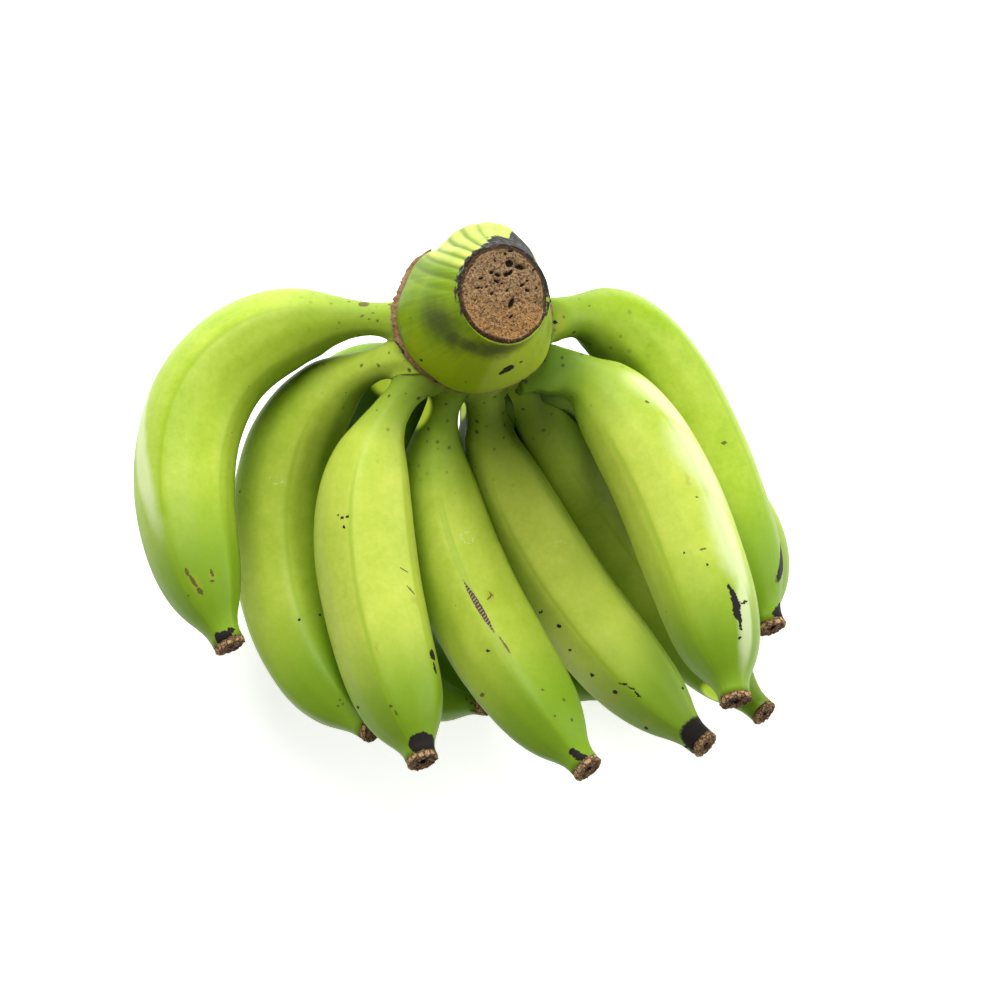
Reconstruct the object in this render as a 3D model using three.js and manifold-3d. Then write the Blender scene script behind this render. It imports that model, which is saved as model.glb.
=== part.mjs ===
// A hand of green bananas as it is cut from the bunch: two rows of fingers that
// grow from one crown. It lies on the outer curves of its back row, with the
// crown's cut end up and the tips towards -Y. Millimetres, +Z up, with the
// origin on the surface it lies on, under the middle of the hand.
import * as THREE from "three";
import { mergeVertices } from "three/addons/utils/BufferGeometryUtils.js";
import Module from "manifold-3d";

// The middle line of each finger is a cubic curve: its root in the crown, two
// guiding points and its tip. girth is the radius of the belly, neck is the
// length of the stalk against a usual one, nose is the same for the end that
// narrows to the tip, stalk is the least radius of the stalk as a share of the
// girth, and turn is where the first of the five ridges stands, in degrees from
// the upper side.
const frontRow = [
  { girth: 18.0, neck: 0.8, turn: -22,
    line: [[-27, 64, 100], [-116, 76, 81], [-116, 1, 98], [-86, -52, 110]] },
  { girth: 17.9, neck: 0.82, turn: 14,
    line: [[-26, 51, 98], [-93, 48, 53], [-83, -55, 58], [-37, -81, 90]] },
  { girth: 18.2, neck: 1.12, turn: -14, nose: 0.85,
    line: [[-18, 45, 99], [-59, 16, 91], [-33, -55, 88], [-19, -92, 107]] },
  { girth: 17.8, neck: 1.05, turn: 4,
    line: [[-8, 45, 97], [-29, 9, 54], [-6, -43, 67], [39, -95, 101]] },
  { girth: 17.5, neck: 1.12, turn: -20, nose: 1.15,
    line: [[3, 44, 97], [-3, 9, 34], [49, -58, 37], [84, -88, 59]] },
  { girth: 16.6, neck: 1.0, turn: 8,
    line: [[15, 47, 95], [26, 18, 12], [67, -37, 5], [109, -77, 32]] },
  { girth: 18.4, neck: 0.56, turn: 36, stalk: 0.46,
    line: [[21, 46, 99], [59, 53, 93], [81, -29, 94], [90, -71, 112]] },
  { girth: 17.6, neck: 0.5, turn: 48, stalk: 0.42,
    line: [[24, 64, 98], [66, 83, 65], [83, 22, 47], [107, -45, 74]] },
];
const backRow = [
  { girth: 16.8, neck: 1.0, turn: 0,
    line: [[-23, 56, 85], [-60, 59, -7], [-100, -13, 0], [-65, -53, 54]] },
  { girth: 16.8, neck: 1.0, turn: 24,
    line: [[-16, 50, 83], [-36, 24, 29], [-65, -66, 11], [3, -72, 61]] },
  { girth: 16.4, neck: 1.0, turn: -16, stalk: 0.64,
    line: [[4, 46, 83], [4, 16, 12], [-3, -56, -2], [51, -68, 31]] },
  { girth: 16.8, neck: 1.0, turn: 30, stalk: 0.5,
    line: [[21, 47, 83], [50, 42, 6], [130, 0, 4], [100, -46, 32]] },
];

// A finger's outline: places along its middle line, as shares of its length,
// and its radius there as a share of the girth. It starts sunk in the crown.
const fingerOutline = [
  [-0.06, 0.4], [0.0, 0.38], [0.03, 0.34], [0.07, 0.325], [0.115, 0.37], [0.165, 0.5], [0.22, 0.7],
  [0.29, 0.86], [0.38, 0.955], [0.5, 1.0], [0.62, 0.99], [0.73, 0.95], [0.8, 0.885], [0.85, 0.795],
  [0.885, 0.69], [0.915, 0.56], [0.937, 0.44], [0.955, 0.36], [0.972, 0.315], [1.0, 0.305],
];
const fullFrom = 0.5; // the girth is full from here on, and a short stalk shifts only what is before it
const narrowFrom = 0.7; // a short or long nose shifts only what is past this place
const ridgeHeight = 0.035; // how far a ridge stands proud, as a share of the radius
const ridges = 5;
const fingerSides = 20;
const seamGap = 0.0001; // points closer than this are one point

// The crown runs from its rough back, past the bract scar that rings it, to the cut end.
const crown = {
  girth: 29,
  line: [[-1, 68, 66], [-2.5, 66.5, 102], [1, 66.5, 123], [9.4, 67.2, 140]],
  outline: [
    [0.0, 0.5], [0.04, 0.64], [0.18, 0.82], [0.34, 0.93], [0.48, 0.98], [0.52, 1.05], [0.56, 1.05],
    [0.59, 0.98], [0.7, 0.91], [0.82, 0.79], [0.92, 0.66], [1.0, 0.59],
  ],
};
const crownSides = 28;

const floorBlock = { width: 400, depth: 40 };

const up = new THREE.Vector3(0, 0, 1);
const back = new THREE.Vector3(0, 1, 0);

// A limb is a cylinder, upright along Y, whose rings are carried to their places along a curve.
// Angles round a ring are counted from its upper side.
function limb(line, outline, sides, radiusAt, upper) {
  const curve = new THREE.CubicBezierCurve3(...line.map((p) => new THREE.Vector3(...p)));
  const length = curve.getLength();
  const rings = outline.map(([place]) => {
    const onCurve = Math.max(place, 0);
    const along = curve.getTangentAt(onCurve);
    const across = new THREE.Vector3().crossVectors(upper, along).normalize();
    const above = new THREE.Vector3().crossVectors(along, across);
    const centre = curve.getPointAt(onCurve).addScaledVector(along, (place - onCurve) * length);
    return { centre, across, above };
  });
  const last = outline.length - 1;
  const geometry = new THREE.CylinderGeometry(1, 1, 1, sides, last);
  const position = geometry.attributes.position;
  const point = new THREE.Vector3();
  for (let i = 0; i < position.count; i++) {
    point.fromBufferAttribute(position, i);
    const ring = Math.round((0.5 - point.y) * last);
    const { centre, across, above } = rings[ring];
    const angle = Math.atan2(point.x, point.z);
    const radius = Math.hypot(point.x, point.z) * radiusAt(outline[ring][1], angle);
    point.copy(centre).addScaledVector(across, radius * Math.sin(angle));
    point.addScaledVector(above, radius * Math.cos(angle));
    position.setXYZ(i, point.x, point.y, point.z);
  }
  return geometry;
}

function fingerGeometry({ girth, neck, turn, nose = 1, stalk = 0, line }) {
  const outline = fingerOutline.map(([place, share]) => {
    if (place > 0 && place < fullFrom) {
      return [place * (neck + ((1 - neck) * place) / fullFrom), Math.max(share, stalk)];
    }
    if (place > narrowFrom) {
      const left = (1 - place) / (1 - narrowFrom);
      return [1 - (1 - narrowFrom) * left * (nose + (1 - nose) * left), share];
    }
    return [place, share];
  });
  const firstRidge = THREE.MathUtils.degToRad(turn);
  const radiusAt = (share, angle) => {
    const swell = 1 + ridgeHeight * Math.cos(ridges * (angle - firstRidge));
    return girth * share * swell;
  };
  return limb(line, outline, fingerSides, radiusAt, up);
}

function crownGeometry() {
  return limb(crown.line, crown.outline, crownSides, (share) => crown.girth * share, back);
}

const wasm = await Module();
wasm.setup();

function toSolid(geometry) {
  geometry.deleteAttribute("normal");
  geometry.deleteAttribute("uv");
  const merged = mergeVertices(geometry, seamGap);
  const vertProperties = new Float32Array(merged.attributes.position.array);
  const triVerts = new Uint32Array(merged.index.array);
  return new wasm.Manifold(new wasm.Mesh({ numProp: 3, vertProperties, triVerts }));
}

function toGeometry(solid) {
  const mesh = solid.getMesh();
  const geometry = new THREE.BufferGeometry();
  geometry.setAttribute("position", new THREE.BufferAttribute(mesh.vertProperties, 3));
  geometry.setIndex(new THREE.BufferAttribute(mesh.triVerts, 1));
  geometry.computeVertexNormals();
  return geometry;
}

// What dips below the surface is cut away, which leaves the small flats that the hand lies on.
function belowFloor() {
  const block = new THREE.BoxGeometry(floorBlock.width, floorBlock.width, floorBlock.depth);
  block.translate(0, 0, -floorBlock.depth / 2);
  return toSolid(block);
}

const limbs = [...frontRow, ...backRow].map((finger) => toSolid(fingerGeometry(finger)));
const grown = limbs.reduce((whole, finger) => whole.add(finger), toSolid(crownGeometry()));
const hand = grown.subtract(belowFloor());

const peel = new THREE.MeshStandardMaterial({ color: 0x9fc148, roughness: 0.45, metalness: 0 });
const bananaHand = new THREE.Mesh(toGeometry(hand), peel);
bananaHand.name = "banana_hand";

const group = new THREE.Group();
group.add(bananaHand);

export default group;
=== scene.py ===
# A hand of green bananas: the peel, the crown with its cut face, the bract scar and the dry tips.
import math

import bmesh
import bpy
import numpy as np
from mathutils import Matrix, Vector, noise
from mathutils.bvhtree import BVHTree


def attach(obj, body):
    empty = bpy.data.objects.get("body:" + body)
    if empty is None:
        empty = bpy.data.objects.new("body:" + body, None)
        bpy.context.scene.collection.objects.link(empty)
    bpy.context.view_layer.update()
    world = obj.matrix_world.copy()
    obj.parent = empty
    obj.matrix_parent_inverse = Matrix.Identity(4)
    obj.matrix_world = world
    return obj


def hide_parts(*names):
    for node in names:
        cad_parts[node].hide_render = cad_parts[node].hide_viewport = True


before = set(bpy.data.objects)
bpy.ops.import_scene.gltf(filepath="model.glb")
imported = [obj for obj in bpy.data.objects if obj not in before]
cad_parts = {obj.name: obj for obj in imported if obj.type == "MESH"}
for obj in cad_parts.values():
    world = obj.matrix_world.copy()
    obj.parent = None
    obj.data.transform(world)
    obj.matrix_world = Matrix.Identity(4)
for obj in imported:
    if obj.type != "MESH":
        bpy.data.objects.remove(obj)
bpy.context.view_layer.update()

scene = bpy.context.scene
mm = 0.001

# Tables are in millimetres and degrees where no note says otherwise. A place on a finger or on the crown is
# a share of its length, counted from its root.
view = {  # the camera looks down on the hand as it lies
    "aim": (8, -0.85, 111.6),
    "elevation": 86,
    "distance": 826,
    "lens": 85,
    "sensor": 36,
    "nearest": 10,
    "picture": 1000,         # pixels across, in which the places of marks and pores are counted
}
pixelSpan = view["sensor"] / view["picture"] / view["lens"]  # what a pixel spans for each metre of distance


def makeCamera():
    tilt = math.radians(view["elevation"])
    data = bpy.data.cameras.new("camera")
    data.lens, data.sensor_width, data.clip_start = view["lens"], view["sensor"], view["nearest"] * mm
    made = bpy.data.objects.new("camera", data)
    scene.collection.objects.link(made)
    away = Vector((0, -math.cos(tilt), math.sin(tilt))) * view["distance"]
    made.location = (Vector(view["aim"]) + away) * mm
    made.rotation_euler = (math.pi / 2 - tilt, 0, 0)
    scene.camera = made
    bpy.context.view_layer.update()
    return made


camera = makeCamera()


def sightLine(u, v):  # from the camera through a place in the picture
    half = view["picture"] / 2
    ray = Vector(((u - half) * pixelSpan, (half - v) * pixelSpan, -1)).normalized()
    return camera.location.copy(), camera.matrix_world.to_3x3() @ ray


# The same fingers as in the part's source. girth is the belly's radius, neck and nose are the lengths of
# the stalk and of the narrowing end against usual ones, stalk is the least radius as a share of the girth,
# and turn is where the first ridge stands, from the upper side.
frontRow = [
    {"girth": 18.0, "neck": 0.8, "turn": -22,
     "line": [[-27, 64, 100], [-116, 76, 81], [-116, 1, 98], [-86, -52, 110]]},
    {"girth": 17.9, "neck": 0.82, "turn": 14,
     "line": [[-26, 51, 98], [-93, 48, 53], [-83, -55, 58], [-37, -81, 90]]},
    {"girth": 18.2, "neck": 1.12, "turn": -14, "nose": 0.85,
     "line": [[-18, 45, 99], [-59, 16, 91], [-33, -55, 88], [-19, -92, 107]]},
    {"girth": 17.8, "neck": 1.05, "turn": 4,
     "line": [[-8, 45, 97], [-29, 9, 54], [-6, -43, 67], [39, -95, 101]]},
    {"girth": 17.5, "neck": 1.12, "turn": -20, "nose": 1.15,
     "line": [[3, 44, 97], [-3, 9, 34], [49, -58, 37], [84, -88, 59]]},
    {"girth": 16.6, "neck": 1.0, "turn": 8,
     "line": [[15, 47, 95], [26, 18, 12], [67, -37, 5], [109, -77, 32]]},
    {"girth": 18.4, "neck": 0.56, "turn": 36, "stalk": 0.46,
     "line": [[21, 46, 99], [59, 53, 93], [81, -29, 94], [90, -71, 112]]},
    {"girth": 17.6, "neck": 0.5, "turn": 48, "stalk": 0.42,
     "line": [[24, 64, 98], [66, 83, 65], [83, 22, 47], [107, -45, 74]]},
]
backRow = [
    {"girth": 16.8, "neck": 1.0, "turn": 0,
     "line": [[-23, 56, 85], [-60, 59, -7], [-100, -13, 0], [-65, -53, 54]]},
    {"girth": 16.8, "neck": 1.0, "turn": 24,
     "line": [[-16, 50, 83], [-36, 24, 29], [-65, -66, 11], [3, -72, 61]]},
    {"girth": 16.4, "neck": 1.0, "turn": -16, "stalk": 0.64,
     "line": [[4, 46, 83], [4, 16, 12], [-3, -56, -2], [51, -68, 31]]},
    {"girth": 16.8, "neck": 1.0, "turn": 30, "stalk": 0.5,
     "line": [[21, 47, 83], [50, 42, 6], [130, 0, 4], [100, -46, 32]]},
]
fingerOutline = [  # places, and the radius there as a share of the girth
    [-0.06, 0.4], [0.0, 0.38], [0.03, 0.34], [0.07, 0.325], [0.115, 0.37], [0.165, 0.5], [0.22, 0.7],
    [0.29, 0.86], [0.38, 0.955], [0.5, 1.0], [0.62, 0.99], [0.73, 0.95], [0.8, 0.885], [0.85, 0.795],
    [0.885, 0.69], [0.915, 0.56], [0.937, 0.44], [0.955, 0.36], [0.972, 0.315], [1.0, 0.305],
]
finger = {
    "fullFrom": 0.5,         # a short stalk shifts only what is before this place
    "narrowFrom": 0.7,       # a short or long nose shifts only what is past this place
    "ridges": 5,
    "ridge": 0.033,          # how far the ridges stand proud, as a share of the radius
    "edge": 0.012,           # how much crisper than a wave they are
    "onStalk": 0.45,         # what is left of them on the stalk
    "offTip": 0.5,           # what the tip takes off them
    "uneven": 0.35,          # slow unevenness of the peel
    "waves": 45,             # how fine that is, for each metre
    "from": -0.05,           # the place where the peel starts, sunk in the crown
    "dryEnd": 1.9,           # length of the dry tip past the end of the peel
    "frontMesh": (52, 100),  # faces round and along
    "backMesh": (40, 72),
}
contact = {
    "gap": 0.08,             # between two fingers that press on each other
    "join": 1.9,             # how softly the stalks flow into the crown
    "joinTo": (0.12, 0.22),  # the places between which that ends
    "joinSteps": 3,
    "hidden": 0.6,           # a point that lies this deep in another limb stays where it is
}
crown = {
    "girth": 29,
    "line": [[-2, 67, 66], [-3.5, 67, 102], [0, 66.5, 122], [9.4, 67.2, 140.4]],
    "base": [[0.0, 0.2], [0.02, 0.42], [0.07, 0.62], [0.18, 0.8], [0.34, 0.88], [0.44, 0.88], [0.5, 0.85],
             [0.55, 0.75], [0.58, 0.6]],
    "baseTo": 0.58,          # inside the cap
    "mesh": (88, 52),
    "cap": [[0.46, 0.8], [0.49, 0.94], [0.515, 0.99], [0.545, 0.995], [0.6, 0.985], [0.68, 0.93],
            [0.76, 0.85], [0.84, 0.765], [0.92, 0.67], [0.975, 0.615], [1.0, 0.6]],
    "capFrom": 0.46,
    "capMesh": (240, 110),
}
limbSteps = {
    "curve": 801,            # the points by which a middle line's length is measured
    "rings": 261,            # the rings that other limbs' points are held against
    "batch": 3000,           # how many of those points at a time, to spare memory
}
seamGap = 1e-7               # in metres: points that are closer than this are one


def smoothCurve(table, at):  # passes through every point without overshooting
    x, y = np.array(table, float).T
    gap = np.diff(x)
    slope = np.diff(y) / gap
    lean = np.empty(len(x))
    lean[0], lean[-1] = slope[0], slope[-1]
    both = slope[1:] * slope[:-1]
    lean[1:-1] = np.where(both > 0, 2 * both / (slope[1:] + slope[:-1] + (both <= 0)), 0)
    i = np.clip(np.searchsorted(x, at) - 1, 0, len(gap) - 1)
    t = np.clip((at - x[i]) / gap[i], 0, 1)
    t2, t3 = t * t, t * t * t
    ends = (2 * t3 - 3 * t2 + 1) * y[i] + (3 * t2 - 2 * t3) * y[i + 1]
    return ends + gap[i] * ((t3 - 2 * t2 + t) * lean[i] + (t3 - t2) * lean[i + 1])


def fade(value, low, high):  # 0 up to low and 1 from high on, with a soft start and end
    t = np.clip((value - low) / (high - low), 0, 1)
    return t * t * (3 - 2 * t)


class Limb:  # something round that grows along a cubic curve: a finger or the crown
    def __init__(self, line, girth, upper, outline, neck=1.0, turn=0.0, nose=1.0, stalk=0.0, ridged=True):
        a, b, c, d = np.array(line, float) * mm
        t = np.linspace(0, 1, limbSteps["curve"])[:, None]
        curve = (1 - t) ** 3 * a + 3 * (1 - t) ** 2 * t * b + 3 * (1 - t) * t * t * c + t**3 * d
        walked = np.concatenate([[0], np.cumsum(np.linalg.norm(np.diff(curve, axis=0), axis=1))])
        self.length, self.girth = walked[-1], girth * mm
        self.turn, self.ridged = math.radians(turn), ridged
        places, shares = np.array(outline, float).T
        if ridged:
            full, narrow = finger["fullFrom"], finger["narrowFrom"]
            early, late = (places > 0) & (places < full), places > narrow
            shares[early] = np.maximum(shares[early], stalk)
            places[early] *= neck + (1 - neck) * places[early] / full
            left = (1 - places[late]) / (1 - narrow)
            places[late] = 1 - (1 - narrow) * left * (nose + (1 - nose) * left)
        self.outline = np.stack([places, shares], axis=1)
        self.places = np.linspace(0, 1, limbSteps["rings"])
        self.points = self.pick(walked / self.length, curve, self.places)
        along = np.gradient(self.points, axis=0)
        self.along = along / np.linalg.norm(along, axis=1)[:, None]
        across = np.cross(np.array(upper, float), self.along)
        self.across = across / np.linalg.norm(across, axis=1)[:, None]
        self.above = np.cross(self.along, self.across)
        self.radii = self.radius(self.places)

    def pick(self, x, rows, at):
        return np.stack([np.interp(at, x, rows[:, k]) for k in range(3)], axis=1)

    def radius(self, place):
        return self.girth * smoothCurve(self.outline, np.asarray(place, float))

    def swell(self, place, angle):  # what the ridges do to the radius
        if not self.ridged:
            return np.ones_like(angle)
        turned = finger["ridges"] * (angle - self.turn)
        wave = finger["ridge"] * np.cos(turned) + finger["edge"] * np.cos(2 * turned)
        least = finger["onStalk"]
        height = least + (1 - least) * fade(place, 0.1, 0.3)
        return 1 + wave * height * (1 - finger["offTip"] * fade(place, 0.88, 1.0))

    def frame(self, place):
        inside = np.clip(place, 0, 1)
        rows = (self.points, self.along, self.across, self.above)
        centre, along, across, above = (self.pick(self.places, row, inside) for row in rows)
        return centre + along * ((place - inside) * self.length)[:, None], along, across, above

    def surface(self, place, angle):
        centre, along, across, above = self.frame(place)
        out = across * np.sin(angle)[:, None] + above * np.cos(angle)[:, None]
        return centre + out * (self.radius(place) * self.swell(place, angle))[:, None], out

    def clearance(self, points):  # how far points stand off this limb, and the way out of it
        off, way = np.empty(len(points)), np.empty_like(points)
        for rows in np.array_split(np.arange(len(points)), max(1, len(points) // limbSteps["batch"])):
            gap = points[rows][:, None, :] - self.points[None]
            away = np.sqrt((gap * gap).sum(axis=2))
            near = (away - self.radii[None]).argmin(axis=1)
            pick = np.arange(len(rows))
            way[rows] = gap[pick, near] / (away[pick, near][:, None] + 1e-9)
            angle = np.arctan2((way[rows] * self.across[near]).sum(1), (way[rows] * self.above[near]).sum(1))
            off[rows] = away[pick, near] - self.radii[near] * self.swell(self.places[near], angle)
        return off, way


up, back = (0, 0, 1), (0, 1, 0)
fingers = [Limb(upper=up, outline=fingerOutline, **row) for row in frontRow + backRow]
crownBody = Limb(crown["line"], crown["girth"], back, crown["base"], ridged=False)
capLimb = Limb(crown["line"], crown["girth"], back, crown["cap"], ridged=False)
limbs = fingers + [crownBody]


def spotOn(limb, place):  # the middle of a limb at a place, and the limb's three directions there
    return [Vector(row[0]) for row in limb.frame(np.array([place]))]


scar = {
    "place": 0.525,
    "mesh": (16, 300),       # faces round its section and along it
    # degrees round from the back, then the outer radius, how far it stands out and how tall it is
    "run": [(66, 27.0, 0.0, 0.4), (74, 27.3, 0.9, 1.6), (84, 27.7, 1.4, 2.4), (98, 28.0, 1.3, 2.2),
            (111, 28.8, 0.8, 1.2), (122, 30.0, 0.6, 0.9), (135, 30.5, 0.5, 0.8), (160, 29.7, 0.5, 0.8),
            (180, 29.9, 0.6, 0.9), (199, 29.8, 0.8, 1.1), (216, 29.3, 1.3, 1.7), (235, 30.0, 1.9, 2.4),
            (255, 30.2, 2.3, 2.9), (270, 29.8, 2.4, 3.0), (280, 28.8, 2.3, 2.9), (291, 28.0, 2.2, 2.8),
            (307, 27.8, 1.6, 2.0), (318, 27.3, 0.9, 1.1), (326, 26.6, 0.0, 0.4)],
    "rough": 0.3,            # of the fine grain, and how fine it is for each metre
    "grain": 900,
    "lumpy": 0.25,           # the same for larger lumps
    "lumps": 260,
    "below": 1.6,            # how far under its middle the stalks leave the crown
    "stalks": (22, 26, 36, 50),  # how far from its middle that comes in and goes out again
}


def newLayers(bm, *names):
    return [bm.verts.layers.float.new(name) for name in names]


def addGrid(bm, mesh):  # a square sheet of verts from -1 to 1, and where they are on it
    verts = bmesh.ops.create_grid(bm, x_segments=mesh[0], y_segments=mesh[1], size=1)["verts"]
    return verts, np.array([v.co for v in verts])


def addShell(bm, limb, number, mesh, start, end):
    verts, at = addGrid(bm, mesh)
    angle = -math.pi * at[:, 0]
    step = (at[:, 1] + 1) / 2
    crowded = 0.035 * np.sin(2 * math.pi * step) - 0.03 * np.sin(math.pi * step)  # spaces the rings unevenly
    place = start + (end - start) * (step + crowded)
    points, out = limb.surface(place, angle)
    layers = bm.verts.layers
    for v, p, o, s, a in zip(verts, points, out, place, angle):
        v.co = p
        v[layers.float["place"]], v[layers.float["limb"]] = s, number
        v[layers.float["ridge"]] = math.cos(finger["ridges"] * (a - limb.turn)) if limb.ridged else 0
        v[layers.float_vector["out"]] = o
        v[layers.float_vector["fibre"]] = (  # shifted for each limb, so that no two have the same streaks
            math.sin(a) * limb.girth, math.cos(a) * limb.girth, s * limb.length + number * 0.31)
    bmesh.ops.remove_doubles(bm, verts=verts, dist=seamGap)


def tuckEdge(bm, edges, centre, shrink, sink):  # turns an open edge in, so that no wall ends in the air
    for v in bmesh.ops.extrude_edge_only(bm, edges=edges)["geom"]:
        if isinstance(v, bmesh.types.BMVert):
            v.co = centre + (v.co - centre) * shrink - sink


def closeEnds(bm):
    bmesh.ops.holes_fill(bm, edges=[e for e in bm.edges if e.is_boundary], sides=0)
    bmesh.ops.recalc_face_normals(bm, faces=bm.faces)


def newObject(name, bm):
    data = bpy.data.meshes.new(name)
    bm.to_mesh(data)
    bm.free()
    made = bpy.data.objects.new(name, data)
    scene.collection.objects.link(made)
    return made


def newPiece(name, bm):
    piece = newObject(name, bm)
    piece.data.shade_smooth()
    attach(piece, "root")
    return piece


def readRows(data, name, width=1):
    rows = np.empty(len(data.vertices) * width, np.float32)
    if name == "co":
        data.vertices.foreach_get("co", rows)
    else:
        data.attributes[name].data.foreach_get("vector" if width == 3 else "value", rows)
    return rows.reshape(-1, width).astype(float) if width > 1 else rows.astype(float)


def softJoin(points, out, limbNumber, strength):  # carries points out to where the limbs flow together
    reach = contact["join"] * mm
    near = strength > 0.01
    start, moved, normal = points[near], points[near].copy(), out[near]
    own = limbNumber[near]
    for step in range(contact["joinSteps"]):
        total = np.exp(np.clip(-((moved - start) * normal).sum(1) / reach, -30, 8))
        pull = normal * total[:, None]
        deepest = np.full(len(moved), 1.0)
        for i, limb in enumerate(limbs):
            off, way = limb.clearance(moved)
            weight = np.where(own == i, 0, np.exp(np.clip(-off / reach, -30, 8)))
            total += weight
            pull += way * weight[:, None]
            deepest = np.where(own == i, deepest, np.minimum(deepest, off))
        pull /= total[:, None]
        stride = reach * np.log(total) / np.maximum((pull * pull).sum(1), 0.3)
        seen = np.clip(1 + deepest / (contact["hidden"] * mm), 0, 1)
        moved += pull * (stride * strength[near] * seen)[:, None]
    points[near] = moved


def pressTogether(points, limbNumber, strength):  # where fingers would overlap, both give way by half
    gap = contact["gap"] * mm
    push = np.zeros_like(points)
    for i, limb in enumerate(fingers):
        others = np.nonzero((limbNumber != i) & (limbNumber < len(fingers)) & (strength > 0.01))[0]
        off, way = limb.clearance(points[others])
        depth = np.maximum(gap - off, 0) * 0.5
        push[others] += way * (depth * strength[others])[:, None]
    points += push


def keepBelowScar(points):
    centre, along = (row[0] for row in capLimb.frame(np.array([scar["place"]]))[:2])
    to = points - centre
    height = to @ along
    away = np.linalg.norm(to - height[:, None] * along, axis=1) / mm
    inner, full, last, outer = scar["stalks"]
    shown = fade(away, inner, full) * (1 - fade(away, last, outer))
    points -= along * (np.maximum(height + scar["below"] * mm, 0) * shown)[:, None]


def makePeel():
    bm = bmesh.new()
    newLayers(bm, "place", "limb", "ridge")
    for name in ("out", "fibre"):
        bm.verts.layers.float_vector.new(name)
    for i, limb in enumerate(fingers):
        mesh = finger["frontMesh"] if i < len(frontRow) else finger["backMesh"]
        addShell(bm, limb, i, mesh, finger["from"], 1 - finger["dryEnd"] * mm / limb.length)
    addShell(bm, crownBody, len(fingers), crown["mesh"], 0.0, crown["baseTo"])
    closeEnds(bm)
    peel = newPiece("peel", bm)
    data = peel.data
    points, out = readRows(data, "co", 3), readRows(data, "out", 3)
    place, number = readRows(data, "place"), np.rint(readRows(data, "limb")).astype(int)
    wobble = np.array([noise.noise(Vector(p) * finger["waves"]) for p in points]) * finger["uneven"] * mm
    points += out * (wobble * fade(place, 0.2, 0.4) * (1 - fade(place, 0.9, 1.0)))[:, None]
    onCrown = number == len(fingers)
    joined = np.where(onCrown, 1.0, 1 - fade(place, *contact["joinTo"]))
    pressTogether(points, number, np.where(onCrown, 0, 1 - joined))
    softJoin(points, out, number, joined)
    keepBelowScar(points)
    points[:, 2] = np.maximum(points[:, 2], 0)  # the flats that the hand lies on
    data.vertices.foreach_set("co", points.astype(np.float32).ravel())
    data.update()
    return peel


peel = makePeel()
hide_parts("banana_hand")
print("peel:", len(peel.data.vertices), "points")

cap = {
    "flutes": 0.8,           # depth of the valleys between the ribs on the upper left
    # where the first valley starts, how far it drifts up to the cut, the valleys' spacing, how much that grows
    "fan": (-43, -21, 11, 3),
    "ribsFrom": 0.55,        # the place from which the ribs run up to the cut
    "uneven": 0.4,
    "waves": 70,             # how fine that is, for each metre
    # degrees round from the back and how far the cap stands out there past its usual radius
    "shape": [(0, 1.7), (12, 2.9), (19, 3.0), (27, 1.8), (40, 0.2), (52, -1.2), (62, -2.5), (74, -3.2),
              (90, -2.1), (110, -0.5), (130, 1.3), (160, 0.6), (180, 0.8), (199, 0.5), (216, -0.4),
              (240, -0.3), (255, -0.5), (270, -1.0), (280, -1.9), (291, -2.6), (307, -2.3), (318, -2.6),
              (326, -3.5), (335, -2.4), (345, -0.2), (354, 1.0), (360, 1.7)],
    # degrees and the place from which the cap is black up to the cut
    "scorch": [(-180, 1.05), (-125, 1.01), (-111, 0.985), (-60, 0.99), (-30, 0.98), (-12, 0.94), (3, 0.85),
               (18, 0.82), (26, 0.62), (36, 0.6), (50, 0.76), (62, 0.9), (75, 0.98), (110, 1.0), (140, 1.05),
               (180, 1.05)],
    "within": 19,            # the cut end's edge is nearer to its middle than this
    "shrink": 0.9,           # how much narrower that edge gets as it turns in under the cut face
    "tuck": 2.5,             # and how deep it goes
}


def makeCap():
    bm = bmesh.new()
    grey = newLayers(bm, "flute", "rib", "scorch")
    fibre = bm.verts.layers.float_vector.new("fibre")
    verts, at = addGrid(bm, crown["capMesh"])
    angle, place = -math.pi * at[:, 0], crown["capFrom"] + (1 - crown["capFrom"]) / 2 * (at[:, 1] + 1)
    points, out = capLimb.surface(place, angle)
    degrees, upwards = np.degrees(angle), (place - cap["ribsFrom"]) / (1 - cap["ribsFrom"])
    start, drift, spacing, growth = cap["fan"]
    phase = (degrees - start - drift * upwards) / (spacing + growth * upwards)  # whole in each valley
    shown = fade(phase, -2.6, -1.2) * (1 - fade(phase, 4.2, 6.2)) * fade(upwards, -0.03, 0.15)
    valley = (1 - np.abs(np.sin(math.pi * phase)) ** 0.9) * shown * (0.6 + 0.4 * (1 - fade(phase, 2.5, 4.5)))
    stand = smoothCurve(cap["shape"], degrees % 360) * (1 - fade(upwards, 0.15, 0.9))
    slow = np.array([noise.noise(Vector(p) * cap["waves"]) for p in points]) * cap["uneven"]
    push = stand - cap["flutes"] * valley + slow
    rib = fade(phase, -0.4, 0.4) * (1 - 0.7 * fade(phase, 4.5, 7.5)) * fade(upwards, -0.05, 0.08)
    scorch = place - smoothCurve(cap["scorch"], degrees) + 0.035 * valley
    points += out * (push * mm)[:, None]
    for v, p, s, a, *values in zip(verts, points, place, angle, valley, rib, scorch):
        v.co = p
        for layer, value in zip(grey, values):
            v[layer] = value
        v[fibre] = (math.sin(a) * capLimb.girth, math.cos(a) * capLimb.girth, s * capLimb.length)
    bmesh.ops.remove_doubles(bm, verts=verts, dist=seamGap)
    centre, along = spotOn(capLimb, 1.0)[:2]
    near = cap["within"] * mm
    edge = [e for e in bm.edges if e.is_boundary and all((v.co - centre).length < near for v in e.verts)]
    tuckEdge(bm, edge, centre, cap["shrink"], along * cap["tuck"] * mm)
    closeEnds(bm)
    return newPiece("crown_cap", bm)


crownCap = makeCap()

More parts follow.
